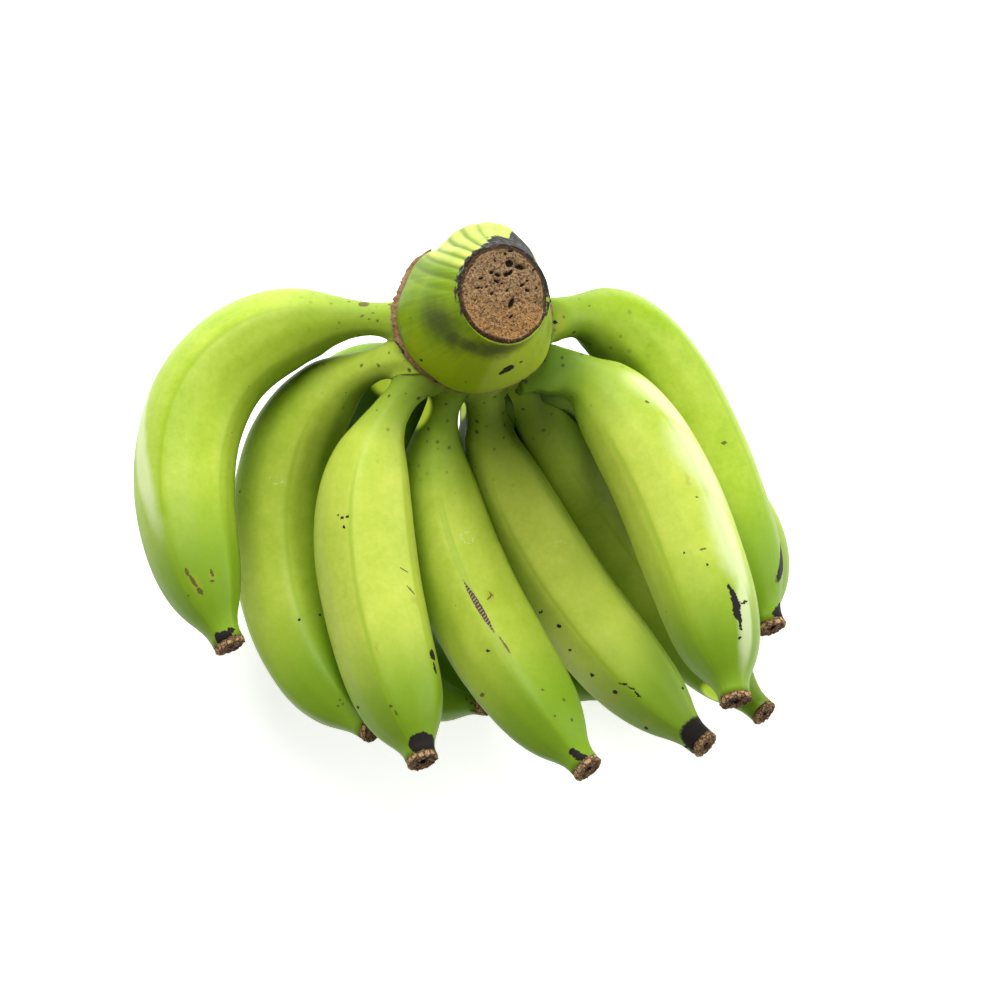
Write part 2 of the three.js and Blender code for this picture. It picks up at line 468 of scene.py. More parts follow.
cut = {
    "radius": 17.5,
    "mesh": (120, 120),
    "waves": (0.02, 0.012),  # how far from round it is, in three slow waves and seven quick ones
    "dish": 0.7,             # how far its middle has shrunk in
    "fibres": 0.3,
    "rim": (0.12, 0.9, 0.035),  # its height, then its place and width as shares of the radius
    "edge": (1.6, 0.92),     # how far the outermost part bends down, and from where
    "shrink": 0.97,          # how much narrower its wall gets inside the cap
    "tuck": 2.0,             # and how deep it goes
    "pores": [  # place in the picture, length, width, lean and depth
        (511, 263, 3.4, 2.8, 20, 1.6), (521, 267, 4.2, 1.7, -5, 1.5), (493, 272, 1.9, 1.3, 10, 1.2),
        (499, 274.5, 2.6, 1.3, -15, 1.2), (508, 274, 2.6, 1.6, 25, 1.4), (512, 272, 2.2, 1.3, 60, 1.2),
        (498, 281, 2.6, 1.1, -25, 1.2), (479, 287.5, 2.2, 0.7, 10, 0.9), (483, 287.5, 0.9, 0.7, 0, 0.9),
        (487.5, 286.5, 1.1, 0.8, 30, 0.9), (493, 293, 1.6, 0.8, 25, 1.0), (508.5, 290, 1.3, 0.8, 50, 0.9),
        (513, 302.5, 4.4, 1.9, 62, 1.4), (523.6, 284.5, 2.1, 1.0, 30, 1.0), (528, 280.5, 1.5, 0.8, 5, 0.9),
        (528.5, 290, 2.1, 1.1, -20, 1.0), (537, 288, 1.1, 0.8, 40, 0.9), (512, 316.5, 2.2, 0.7, 35, 0.9),
        (521, 300.5, 0.7, 0.6, 0, 0.8), (482, 278, 2.4, 0.8, 20, 0.9), (496, 260.5, 1.1, 0.7, -40, 0.8),
        (506, 253.5, 1.4, 1.0, -20, 0.9), (511, 251, 2.6, 0.8, 10, 1.0), (503, 283, 1.0, 0.7, 0, 0.8),
        (534, 270, 1.2, 0.6, 45, 0.7), (476, 300, 1.2, 0.6, 60, 0.6), (536, 302, 1.1, 0.6, 70, 0.7),
    ],
}


def onPlane(u, v, point, normal):
    start, ray = sightLine(u, v)
    return start + ray * ((point - start).dot(normal) / ray.dot(normal))


def poreAt(x, y, pores):  # how much of a pore is at a spot on the cut face, and how far it goes in
    pore = sunk = 0
    for px, py, long, wide, lean, depth in pores:
        dx, dy = x - px, y - py
        a, b = dx * math.cos(lean) + dy * math.sin(lean), dy * math.cos(lean) - dx * math.sin(lean)
        spread = (a / long) ** 2 + (b / wide) ** 2
        if spread < 6:
            here = math.exp(-(spread**1.5))
            pore, sunk = max(pore, here), sunk + depth * here
    return pore, sunk


def makeCutFace():
    centre, along, across, above = spotOn(capLimb, 1.0)
    bm = bmesh.new()
    fromMiddle, inPore = newLayers(bm, "fromMiddle", "pore")
    pores = []
    for u, v, long, wide, lean, depth in cut["pores"]:
        to = onPlane(u, v, centre, along) - centre
        pores.append((to.dot(across) / mm, to.dot(above) / mm, long / 2, wide / 2, math.radians(lean), depth))
    rim, rimAt, rimWide = cut["rim"]
    bend, bendFrom = cut["edge"]
    for v in addGrid(bm, cut["mesh"])[0]:
        x, y = v.co.x * math.sqrt(1 - v.co.y**2 / 2), v.co.y * math.sqrt(1 - v.co.x**2 / 2)  # square to round
        reach = math.hypot(x, y)
        angle = math.atan2(x, y)
        wave = 1 + cut["waves"][0] * math.sin(3 * angle + 1) + cut["waves"][1] * math.sin(7 * angle)
        x, y = x * cut["radius"] * wave, y * cut["radius"] * wave
        away = min(1.0, reach)
        height = -cut["dish"] * (1 - away**2) + rim * math.exp(-(((away - rimAt) / rimWide) ** 2))
        height -= bend * max(0, away - bendFrom) / (1 - bendFrom)
        height += cut["fibres"] * noise.fractal(Vector((x, y, 3)) * 0.9, 0.8, 2.2, 4)
        pore, sunk = poreAt(x, y, pores)
        v.co = centre + (across * x + above * y + along * (height - sunk)) * mm
        v[fromMiddle], v[inPore] = reach, pore
    tuckEdge(bm, [e for e in bm.edges if e.is_boundary], centre, cut["shrink"], along * cut["tuck"] * mm)
    closeEnds(bm)
    return newPiece("cut_face", bm)


cutFace = makeCutFace()


def makeScar():
    centre, along, across, above = spotOn(capLimb, scar["place"])
    turns, radii, proud, tall = np.array(scar["run"], float).T
    bm = bmesh.new()
    verts = addGrid(bm, scar["mesh"])[0]
    for v in verts:
        around = math.pi * v.co.x
        turn = turns[0] + (turns[-1] - turns[0]) * (v.co.y + 1) / 2
        radius, stand, height = (np.interp(turn, turns, row) for row in (radii, proud, tall))
        angle = math.radians(turn)
        out = across * math.sin(angle) + above * math.cos(angle)
        spot = centre + out * (radius - stand) * mm
        rough = scar["rough"] * noise.fractal(spot * scar["grain"] + out * math.cos(around), 0.7, 2.1, 3)
        rough += scar["lumpy"] * noise.noise(spot * scar["lumps"])
        side = math.cos(around) * stand * (1 + rough)
        lift = math.sin(around) * height / 2 * (1 + 0.5 * rough)
        v.co = spot + (out * side + along * lift) * mm
    bmesh.ops.remove_doubles(bm, verts=verts, dist=seamGap)
    closeEnds(bm)
    return newPiece("bract_scar", bm)


bractScar = makeScar()

tip = {
    "profile": [  # distance from the middle as a share of the end's radius, and height over its end
        (0.0, -0.9), (0.12, -0.85), (0.2, -0.3), (0.28, 0.1), (0.4, 0.05), (0.52, 0.15), (0.64, 0.0),
        (0.76, 0.1), (0.86, 0.3), (0.94, 0.42), (1.0, 0.3), (1.03, -0.1), (1.02, -0.8), (0.99, -1.6),
        (0.96, -2.4), (0.92, -3.0),
    ],
    "steps": 44,             # faces round
    "rough": 0.45,           # how far its surface is shaken, and how much more so along the finger
    "torn": 1.4,
}


def makeTips():
    bm = bmesh.new()
    fromMiddle = newLayers(bm, "fromMiddle")[0]
    for number, limb in enumerate(fingers):
        centre, along, across, above = spotOn(limb, 1.0)
        end = limb.radii[-1] / mm
        profile = [bm.verts.new((share * end, 0, height)) for share, height in tip["profile"]]
        for v, (share, height) in zip(profile, tip["profile"]):
            v[fromMiddle] = share if height > -1 or share < 0.5 else 1.1  # past 1 on the wall
        line = [bm.edges.new(pair) for pair in zip(profile, profile[1:])]
        bmesh.ops.spin(bm, geom=profile + line, cent=(0, 0, 0), axis=(0, 0, 1), angle=2 * math.pi,
                       steps=tip["steps"], use_merge=True, use_duplicate=False)
        bmesh.ops.remove_doubles(bm, verts=[v for v in bm.verts if not v.tag], dist=seamGap / mm)
        turn = Matrix((across, above, along)).transposed()
        for v in bm.verts:
            if v.tag:  # an earlier finger's
                continue
            seed = Vector((v.co.x, v.co.y, v.co.z * 0.6 + number * 13))
            shake = Vector((noise.noise(seed * 0.8), noise.noise(seed * 0.8 + Vector((9, 0, 0))),
                            noise.fractal(seed * 0.9, 0.8, 2.1, 3) * tip["torn"]))
            v.co += shake * tip["rough"]
            v.co = centre + (turn @ v.co) * mm
            v.tag = True
    closeEnds(bm)
    return newPiece("dry_tips", bm)


dryTips = makeTips()
print("crown cap, cut face, bract scar and tips are made")

light = {
    "world": 0.24,
    "floor": (0.86, 0.86, 0.86, 1),
    "floorGlow": 0.62,       # the floor's own light, which keeps it white
    "floorSize": 3,          # half its width, in metres
    "panels": [  # place and aim in metres, size and power
        {"at": (-0.15, 0.62, 0.98), "to": (0, 0, 0.08), "size": 0.7, "watts": 14.0},
        {"at": (1.05, 0.1, 0.5), "to": (0.02, -0.02, 0.08), "size": 0.6, "watts": 8.0},
        {"at": (-1.05, 0.1, 0.35), "to": (-0.05, -0.02, 0.08), "size": 0.5, "watts": 2.0},
        {"at": (-0.05, 0.75, 0.28), "to": (0, 0.05, 0.06), "size": 0.4, "watts": 3.0},
    ],
}


def makeFloor():
    bm = bmesh.new()
    bmesh.ops.create_grid(bm, x_segments=1, y_segments=1, size=light["floorSize"])
    floor = newObject("floor", bm)
    return floor


def makeLight():
    world = bpy.data.worlds.new("studio")
    scene.world = world
    world.use_nodes = True
    ground = world.node_tree.nodes["Background"]
    ground.inputs["Color"].default_value = (1, 1, 1, 1)
    ground.inputs["Strength"].default_value = light["world"]
    for i, panel in enumerate(light["panels"]):
        data = bpy.data.lights.new("panel%d" % i, "AREA")
        data.shape, data.size, data.energy = "DISK", panel["size"], panel["watts"]
        lamp = bpy.data.objects.new("panel%d" % i, data)
        scene.collection.objects.link(lamp)
        lamp.location = panel["at"]
        lamp.rotation_euler = (Vector(panel["to"]) - Vector(panel["at"])).to_track_quat("-Z", "Y").to_euler()
    scene.view_settings.view_transform = "Standard"


floor = makeFloor()
makeLight()
print("floor and lights are set")


class Shade:  # an output in a material's nodes, so that sums on it are written as sums
    def __init__(self, tree, socket=None):
        self.tree, self.socket = tree, socket

    def node(self, kind, settings=None, inputs=None, output=0):
        made = self.tree.nodes.new("ShaderNode" + kind)
        for name, value in (settings or {}).items():
            setattr(made, name, value)
        for name, value in (inputs or {}).items():
            if isinstance(value, Shade):
                self.tree.links.new(value.socket, made.inputs[name])
            else:
                made.inputs[name].default_value = value
        return Shade(self.tree, made.outputs[output])

    def other(self, output):  # another output of the same node
        return Shade(self.tree, self.socket.node.outputs[output])

    def math(self, operation, left, right=0.0):
        return self.node("Math", {"operation": operation}, {0: left, 1: right})

    def __add__(self, other):
        return self.math("ADD", self, other)

    def __sub__(self, other):
        return self.math("SUBTRACT", self, other)

    def __rsub__(self, other):
        return self.math("SUBTRACT", other, self)

    def __mul__(self, other):
        return self.math("MULTIPLY", self, other)

    __radd__, __rmul__ = __add__, __mul__

    def ramp(self, low, high):  # 0 at low and 1 at high, with a soft start and end
        return self.node("MapRange", {"interpolation_type": "SMOOTHSTEP"},
                         {"Value": self, "From Min": low, "From Max": high})

    def vector(self, operation, other, output="Vector"):
        return self.node("VectorMath", {"operation": operation}, {0: self, 1: other}, output)

    def noise(self, scale, detail=2.0, rough=0.5):
        inputs = {"Vector": self, "Scale": scale, "Detail": detail, "Roughness": rough}
        return self.node("TexNoise", {}, inputs)


def newMaterial(name):
    material = bpy.data.materials.new(name)
    material.use_nodes = True
    material.node_tree.nodes.clear()
    return material, Shade(material.node_tree)


def finish(s, **values):
    shader = s.tree.nodes.new("ShaderNodeBsdfPrincipled")
    out = s.tree.nodes.new("ShaderNodeOutputMaterial")
    s.tree.links.new(shader.outputs[0], out.inputs[0])
    for name, value in values.items():
        socket = shader.inputs[name.replace("_", " ")]
        if isinstance(value, Shade):
            s.tree.links.new(value.socket, socket)
        else:
            socket.default_value = value


def blend(s, share, first, second, mode="MIX"):
    colours = {6: first, 7: second}
    for key, colour in colours.items():
        if not isinstance(colour, Shade):
            colours[key] = (*colour, 1)
    return s.node("Mix", {"data_type": "RGBA", "blend_type": mode}, {0: share, **colours}, output=2)


def attribute(s, name, output="Fac"):
    return s.node("Attribute", {"attribute_name": name}, output=output)


def bump(s, height, strength, distance):
    return s.node("Bump", {}, {"Height": height, "Strength": strength, "Distance": distance * mm}, "Normal")


# Marks on the peel and the crown: place in the picture, length and width there, and lean in degrees.
# The pale facet and rim marks are painted highlights where the peel catches the light, a slit is a healed cut,
# and where marks glow, that is painted light for light coming through a gap from behind.
marks = {
    "black": [
        (417, 743, 17, 19, 0), (429, 743, 17, 18, 0), (706, 735, 27, 19, 20), (696, 741, 17, 10, 25),
        (688, 746, 10, 4, 25), (575, 753, 13, 7, -20), (226, 636, 13, 11, 0), (231, 630, 8, 5, 10),
        (222, 641, 9, 5, 40), (780, 610, 12, 7, 75), (782, 560, 42, 6, 86), (731, 590, 14, 4, -62),
        (736, 603, 17, 8, -65), (740, 619, 18, 4, -86), (745, 602, 9, 3, 20), (741, 629, 4, 4, 0),
        (740, 638, 4, 3, 60), (342, 518, 3.6, 3, 0), (347, 517, 3, 2.6, 0), (344, 527, 3.2, 3, 0),
        (338, 515, 2, 2, 0), (433, 655, 11, 4, -80), (435, 668, 13, 2.4, -75), (488, 651, 4, 3.4, 0),
        (559, 626, 4.4, 4, 0), (541, 612, 4, 3, 40), (570, 650, 3.2, 3, 0), (592, 675, 4, 4, 0),
        (615, 692, 4.6, 4.2, 0), (683, 688, 3, 3, 0), (646, 728, 3, 4, 60), (648, 734, 3, 2.4, 0),
        (664, 742, 3.2, 2.4, 0), (623, 684, 10, 1.8, -8), (631, 688, 10, 1.8, -28), (638, 695, 9, 2, -46),
        (684, 553, 2.6, 2.4, 0), (707, 565, 3.4, 2.6, 30), (299, 620, 3.2, 3, 0), (320, 615, 2.8, 2.6, 0),
        (358, 707, 3, 2.6, 0), (555, 322, 5, 4, 0), (521, 362, 2.6, 2.4, 0), (421, 360, 3, 2.6, 0),
        (572, 751, 7, 5, 60), (508, 369, 14, 4.6, 27), (503, 372, 6, 5, 0), (423, 739, 18, 14, 0),
        (703, 738, 29, 20, 22), (736, 612, 16, 6, -75), (733, 594, 14, 6, -62), (582, 757, 18, 7, -12),
    ],
    "brown": [
        (187, 572, 9, 4, -70), (193, 581, 15, 4, -58), (200, 591, 9, 5, -50), (212, 573, 8, 3, -70),
        (212, 581, 4, 3, 0), (364, 304, 11, 6, 10), (362, 316, 4, 2, 20), (369, 319, 4, 2, 0),
        (373, 313, 3, 2, 0), (340, 700, 3, 2, 0), (338, 706, 2.6, 2, 0), (343, 704, 2.4, 2, 0),
        (391, 706, 4, 3, 0), (396, 713, 6, 2, -60), (647, 402, 5, 2.6, -30), (697, 497, 2.6, 2, 0),
        (703, 549, 7, 2, 12), (724, 443, 7, 3, 8), (404, 570, 10, 1.4, -32), (411, 590, 13, 1.4, -50),
        (490, 597, 8, 1.8, 42), (491, 594, 7, 1.6, -48), (505, 645, 22, 2, -56), (564, 700, 3, 3, 0),
        (555, 716, 3, 2.4, 0), (543, 690, 3, 2.4, 0), (572, 720, 3, 4, 50), (430, 745, 4, 3, 0),
        (482, 695, 6, 4, 20), (472, 703, 5, 3, 0), (466, 699, 3, 3, 0), (476, 711, 6, 3, 0),
        (596, 705, 2, 2, 0),
    ],
    "faint": [
        (330, 640, 30, 7, -62), (556, 330, 12, 8, 0), (490, 596, 22, 12, -50), (506, 648, 26, 6, -56),
        (212, 577, 8, 12, 0), (195, 583, 24, 14, -60), (648, 722, 14, 9, 30), (610, 700, 26, 16, 30),
        (560, 320, 12, 30, 0), (688, 480, 20, 6, -60), (378, 650, 26, 5, -70), (415, 600, 16, 8, -50),
        (424, 750, 5, 4, 0),
    ],
    "scuff": [(276, 480, 17, 8, 0), (468, 536, 15, 9, 10), (560, 544, 15, 6, 0), (468, 541, 10, 5, 0)],
    # painted highlights: pale facets and outer rims where the light catches the peel
    "paintedHighlight": [
        (664, 402, 110, 18, -46), (702, 465, 130, 21, -60), (730, 540, 140, 21, -70),
        (746, 615, 120, 17, -84), (140, 440, 200, 13, 87), (172, 338, 110, 12, 52),
    ],
    # a dark stain on the crown, partly painted shade where the crown turns away from the light
    "stainAndShade": [
        (438, 322, 56, 38, -25), (496, 350, 84, 17, 2), (452, 338, 34, 22, -40), (470, 346, 40, 16, -10),
    ],
    "slit": [(479, 607, 62, 6, -59)],
    # painted light: gaps that glow as if lit from behind
    "paintedBacklight": [(390, 384, 36, 15, 38), (424, 412, 40, 10, 66), (464, 408, 22, 7, 80), (711, 694, 28, 15, -50)],
}
leastSlope = 0.3             # where the peel turns from the camera, marks get no longer than this allows

# Painted shade: how closed in each point of the peel is, measured here, darkens its colour in peelMaterial.
hollow = {
    "rays": 36,              # from each point of the peel, spread evenly over all directions
    "low": 0.12,             # those flatter to the peel than this are left out
    "off": 0.5,              # how far off the peel they start
    "reach": 60,
    "blur": 6,
}

graph = bpy.context.evaluated_depsgraph_get()
surfaces = {piece.name: BVHTree.FromObject(piece, graph) for piece in (peel, crownCap)}


def measureHollow():  # how much of what each point of the peel looks out on the rest of the hand takes up
    data = peel.data
    count = hollow["rays"]
    heights = [1 - (2 * k + 1) / count for k in range(count)]
    turns = [k * math.pi * (3 - math.sqrt(5)) for k in range(count)]
    rays = [Vector((math.sqrt(1 - h * h) * math.cos(a), math.sqrt(1 - h * h) * math.sin(a), h))
            for h, a in zip(heights, turns)]
    tree, reach = surfaces[peel.name], hollow["reach"] * mm
    values = np.zeros(len(data.vertices))
    shares = np.array([vertex.normal[:] for vertex in data.vertices]) @ np.array(rays).T
    for i, vertex in enumerate(data.vertices):
        start = vertex.co + vertex.normal * hollow["off"] * mm
        outward = [k for k in range(count) if shares[i, k] > hollow["low"]]
        closed = sum(shares[i, k] for k in outward if tree.ray_cast(start, rays[k], reach)[0])
        values[i] = closed / sum(shares[i, k] for k in outward)
    edges = np.array([edge.vertices[:] for edge in data.edges])
    ends, others = np.concatenate([edges, edges[:, ::-1]]).T
    number = np.bincount(ends, minlength=len(values))
    for step in range(hollow["blur"]):
        values = (values + np.bincount(ends, values[others], len(values)) / number) / 2
    data.attributes.new("hollow", "FLOAT", "POINT").data.foreach_set("value", values.astype(np.float32))


measureHollow()
print("the hollows between the fingers are measured")

limbOfPoint = readRows(peel.data, "limb")
limbOfFace = [round(limbOfPoint[face.vertices[0]]) for face in peel.data.polygons]


def onSurface(u, v, long, wide, lean):  # what is under a mark, and the mark's middle, turn and size on it
    start, ray = sightLine(u, v)
    hits = [(name, *tree.ray_cast(start, ray)) for name, tree in surfaces.items()]
    hits = [hit for hit in hits if hit[1]]
    if not hits:
        return None, None
    name, spot, normal, face, distance = min(hits, key=lambda hit: hit[4])
    if name == peel.name:
        name = limbOfFace[face]
    pixel = pixelSpan * distance
    right, upward = (camera.matrix_world.to_3x3().col[k] for k in (0, 1))
    angle = math.radians(lean)
    flat = right * math.cos(angle) + upward * math.sin(angle)
    upright = upward * math.cos(angle) - right * math.sin(angle)
    along = normal.cross(ray.cross(flat)).normalized()
    aside = normal.cross(along)
    size = [
        across * pixel / 2 / max(abs(way.dot(flatWay)), leastSlope)
        for across, way, flatWay in ((long, along, flat), (wide, aside, upright))
    ]
    turn = Matrix((along, aside, normal)).transposed().to_euler()
    return name, (spot, turn, (*size, max(size) + mm))


placed = {}  # by finger or piece, and kind
for kind, rows in marks.items():
    for row in rows:
        name, at = onSurface(*row)
        placed.setdefault((name, kind), []).append(at)
print("marks:", sum(len(rows) for rows in placed.values()))


def local(s, where, spot, turn, size):
    return s.node("Mapping", {"vector_type": "TEXTURE"}, {0: where, 1: spot, 2: turn, 3: size})


def markField(s, where, rows):  # 1 at the edges of the marks and less within
    field = None
    for row in rows:
        away = local(s, where, *row).vector("LENGTH", (0, 0, 0), "Value")
        field = away if field is None else s.math("MINIMUM", field, away)
    return field


def shaken(where, scale, reach):
    jitter = where.noise(scale, 3).other("Color").vector("SUBTRACT", (0.5, 0.5, 0.5))
    return where.vector("ADD", jitter.vector("MULTIPLY", (reach * mm,) * 3))


# What lies lower comes first. fray is the scale and the reach of the noise that frays a mark, edge is where
# the mark comes in, counted as in markField, and a worn one leaves its middle free.
kinds = {
    "stainAndShade": {"strength": 0.85, "fray": (300, 5), "edge": (1.35, 0.15)},
    "paintedHighlight": {"strength": 0.55, "fray": (60, 4), "edge": (1.1, 0.5)},
    "faint": {"strength": 0.45, "fray": (400, 3), "edge": (1.1, 0.2)},
    "scuff": {"strength": 0.6, "fray": (1500, 1.1), "edge": (1.15, 1.0), "worn": (0.6, 0.85)},
    "brown": {"strength": 0.85, "fray": (1500, 1.1), "edge": (1.1, 0.85)},
    "black": {"strength": 1.0, "fray": (1100, 1.5), "edge": (1.08, 0.9)},
}
peelLook = {
    "yellow": (0.48, 0.55, 0.075),
    "green": (0.22, 0.36, 0.004),
    "end": (0.12, 0.24, 0.002),
    "endFrom": (0.62, 0.88),     # the places between which a finger darkens towards a deeper green at its end
    "stalk": (0.10, 0.19, 0.004),
    "stalkTo": (0.078, 0.04),    # how far from the crown the stalk's darker green comes in, in metres; partly the stalk's own colour and partly painted shade from the crown
    "ridge": (0.2, 0.33, 0.006),
    "shade": (0.5, 0.6, 0.28),   # painted shade: what the peel's colour is multiplied by in the hollows
    "shadeFrom": (0.28, 0.85),
    "black": (0.012, 0.009, 0.008),
    "brown": (0.075, 0.042, 0.01),
    "faint": (0.3, 0.29, 0.02),
    "scuff": (0.5, 0.6, 0.24),
    "stainAndShade": (0.045, 0.055, 0.014),
    # the colour of the painted highlights
    "paintedHighlight": (0.62, 0.68, 0.42),
    # the colour of the painted light in the gaps
    "paintedBacklight": (0.42, 0.55, 0.03),
    "slit": (0.045, 0.022, 0.016),
    "slitFibre": (0.3, 0.2, 0.09),
    "speck": (0.035, 0.05, 0.008),
    # how yellow each finger is, how far its stalk darkens, which is partly its own darker green and partly
    # painted shade from the crown, and how much painted shade darkens it towards its end's green on the back
    # row, and last the crown's base
    "tones": [0.4, 0.55, 0.75, 0.6, 0.9, 0.65, 0.6, 0.35, 0.0, 0.0, 0.0, 0.6, 0.1],
    "stalks": [0.4, 0.1, 0.75, 0.85, 0.65, 0.5, 1.0, 0.6, 0.9, 0.9, 0.9, 0.9, 0.9],
    "backRowShade": [0, 0, 0, 0, 0, 0, 0, 0, 0.5, 0.6, 0.5, 0, 0],
    "roughness": 0.38,
    "specular": 0.22,
    "shine": 0.8,                # how bright the painted light is in the gaps with light behind them
}
stalkFrom = Vector((-1, 64, 92)) * mm


def addMarks(s, name, where, colour):
    black = 0.0
    for kind, how in kinds.items():
        rows = placed.get((name, kind))
        if not rows:
            continue
        field = markField(s, shaken(where, *how["fray"]), rows)
        mask = field.ramp(*how["edge"])
        if "worn" in how:
            mask = mask * field.ramp(*how["worn"]) * where.noise(700).ramp(0.5, 0.6)
        colour = blend(s, mask * how["strength"], colour, peelLook[kind])
        if kind == "black":
            black = mask
    return colour, black


def addSlit(s, where, row, colour, height):  # a healed slit with pale fibres across it
    at = local(s, shaken(where, 1500, 0.8), *row)
    x, y = (s.node("SeparateXYZ", {}, {0: at}, axis) for axis in ("X", "Y"))
    aside = s.math("ABSOLUTE", y)
    inside = (1 - x * x - aside).ramp(-0.06, 0.12)
    stripes = s.math("SINE", x * 60 + y * 1.5) * 0.5 + 0.5
    pale = stripes.ramp(0.55, 0.9) * aside.ramp(0.75, 0.5)
    colour = blend(s, inside, colour, blend(s, pale, peelLook["slit"], peelLook["slitFibre"]))
    return colour, height - inside * 1.2 + stripes * inside * 0.6


def specks(s, where, scale, size, share):  # small round spots in some of the cells of a 3-D pattern
    cells = s.node("TexVoronoi", {}, {"Vector": where, "Scale": scale, "Randomness": 1.0}, "Distance")
    lot = s.node("SeparateColor", {}, {0: cells.other("Color")})
    wide = lot.ramp(1 - share, 1.0) * size
    return (wide - cells).ramp(0.0, size * 0.4)


def peelMaterial(number):
    material, s = newMaterial("green peel %d" % number)
    look = peelLook
    where = s.node("TexCoord", output="Object")
    place, ridge = attribute(s, "place"), attribute(s, "ridge")
    clouds, mottle, fine = where.noise(22, 3), where.noise(110, 3, 0.6), where.noise(450, 3, 0.65)
    streaks = attribute(s, "fibre", "Vector").vector("MULTIPLY", (420, 420, 16)).noise(1.0, 4, 0.6)
    fromCrown = where.vector("DISTANCE", tuple(stalkFrom), "Value")
    stalk = (fromCrown + where.noise(60) * 0.012).ramp(*look["stalkTo"])
    nearTip = (place + (clouds - 0.5) * 0.1).ramp(*look["endFrom"])
    yellow = (clouds - 0.5) * 1.1 + (mottle - 0.5) * 0.6 + (fine - 0.5) * 0.5 + look["tones"][number]
    colour = blend(s, yellow, look["green"], look["yellow"])
    colour = blend(s, nearTip * 0.85, colour, look["end"])
    # painted shade: the back row's colour is darkened towards the end's green
    if look["backRowShade"][number]:
        colour = blend(s, look["backRowShade"][number], colour, look["end"])
    # the stalk's own darker green, with painted shade from the crown set for each finger
    colour = blend(s, stalk * (0.8 + mottle * 0.4) * look["stalks"][number], colour, look["stalk"])
    # painted shade, darker where the rest of the hand closes in round the peel
    colour = blend(s, attribute(s, "hollow").ramp(*look["shadeFrom"]), colour, look["shade"], "MULTIPLY")
    line = (ridge + (clouds - 0.5) * 0.15).ramp(0.88, 1.0) * (1 - stalk) * place.ramp(0.15, 0.35)
    colour = blend(s, line * (0.25 + mottle * 0.4), colour, look["ridge"])
    small = specks(s, where, 150, 0.09, 0.4) * 0.8
    atStalk = specks(s, where, 290, 0.32, 0.85) * stalk * 0.85
    colour = blend(s, s.math("MAXIMUM", small, atStalk), colour, look["speck"])
    colour, black = addMarks(s, number, where, colour)
    rough = look["roughness"] + streaks * 0.12 + clouds * 0.1 + black * 0.3 + stalk * 0.08
    height = streaks * 0.5 + where.noise(900, 3) * 0.35
    if (number, "slit") in placed:
        colour, height = addSlit(s, where, placed[number, "slit"][0], colour, height)
    # painted light: the gaps glow through the peel's emission
    paintedBacklight, lit = (0, 0, 0, 1), placed.get((number, "paintedBacklight"))
    if lit:
        paintedBacklight = blend(s, markField(s, where, lit).ramp(1.1, 0.5), (0, 0, 0), look["paintedBacklight"])
    finish(s, Base_Color=colour, Roughness=rough, Normal=bump(s, height, 0.35, 0.25), Emission_Color=paintedBacklight,
           Emission_Strength=look["shine"], Specular_IOR_Level=look["specular"])
    return material


capLook = {
    "green": (0.12, 0.21, 0.002),
    "bright": (0.29, 0.38, 0.004),
    "paintedLightFrom": (-0.058, -0.036),  # painted light: metres of -Y between which the side towards the fingers is painted brighter
    "rib": (0.48, 0.53, 0.11),
    "valley": (0.13, 0.19, 0.012),
    "scorch": (0.022, 0.02, 0.018),
    "ash": (0.11, 0.115, 0.11),
    "roughness": 0.42,
    "specular": 0.1,
}


def capMaterial():
    material, s = newMaterial("crown peel")
    look = capLook
    where = s.node("TexCoord", output="Object")
    flute, rib, scorch = (attribute(s, name) for name in ("flute", "rib", "scorch"))
    radial = attribute(s, "fibre", "Vector").vector("MULTIPLY", (700, 700, 30)).noise(1.0, 4, 0.6)
    clouds = where.noise(70, 4, 0.6)
    y = s.node("SeparateXYZ", {}, {0: where}, "Y")
    # painted light: the side towards the fingers is painted brighter, mixed with the cap's own uneven tone
    lower = (y * -1 + clouds * 0.012).ramp(*look["paintedLightFrom"])
    bright = (clouds - 0.35) * 0.8 + lower * 0.9 + (radial - 0.5) * 1.1
    colour = blend(s, bright, look["green"], look["bright"])
    colour = blend(s, rib * (0.75 + (clouds - 0.5) * 0.8) * (1 - flute * 0.9), colour, look["rib"])
    colour = blend(s, flute.ramp(0.25, 0.9) * (0.5 + radial * 0.5), colour, look["valley"])
    colour = blend(s, specks(s, where, 260, 0.14, 0.35) * 0.8, colour, peelLook["speck"])
    colour = addMarks(s, crownCap.name, where, colour)[0]
    edge = (scorch + (where.noise(420, 4, 0.65) - 0.5) * 0.1).ramp(-0.004, 0.012)
    burnt = blend(s, where.noise(500, 3).ramp(0.5, 0.75), look["scorch"], look["ash"])
    colour = blend(s, edge, colour, burnt)
    height = radial * 0.6 + where.noise(800, 3) * 0.4 - edge * 0.7
    finish(s, Base_Color=colour, Roughness=look["roughness"] + radial * 0.14 + edge * 0.2,
           Normal=bump(s, height, 0.4, 0.3), Specular_IOR_Level=look["specular"])
    return material


dryLook = {
    "brown": (0.20, 0.105, 0.042),
    "dark": (0.035, 0.018, 0.009),
    "tan": (0.46, 0.29, 0.13),
    "orange": (0.38, 0.19, 0.055),
    "grey": (0.30, 0.20, 0.105),
    "cork": (0.30, 0.175, 0.105),
    "deepest": (0.012, 0.008, 0.006),  # in the pores and the middle of the tips
    "sooty": (0.02, 0.014, 0.01),      # patches on the bract scar
    "orangeFrom": (0.076, 0.06),       # metres of Y between which the cut face turns from grey to orange
    "roughness": 0.85,
}


def cracked(s, where, scale):  # how far it is to the nearest edge of a cell
    return s.node("TexVoronoi", {"feature": "DISTANCE_TO_EDGE"}, {"Vector": where, "Scale": scale})


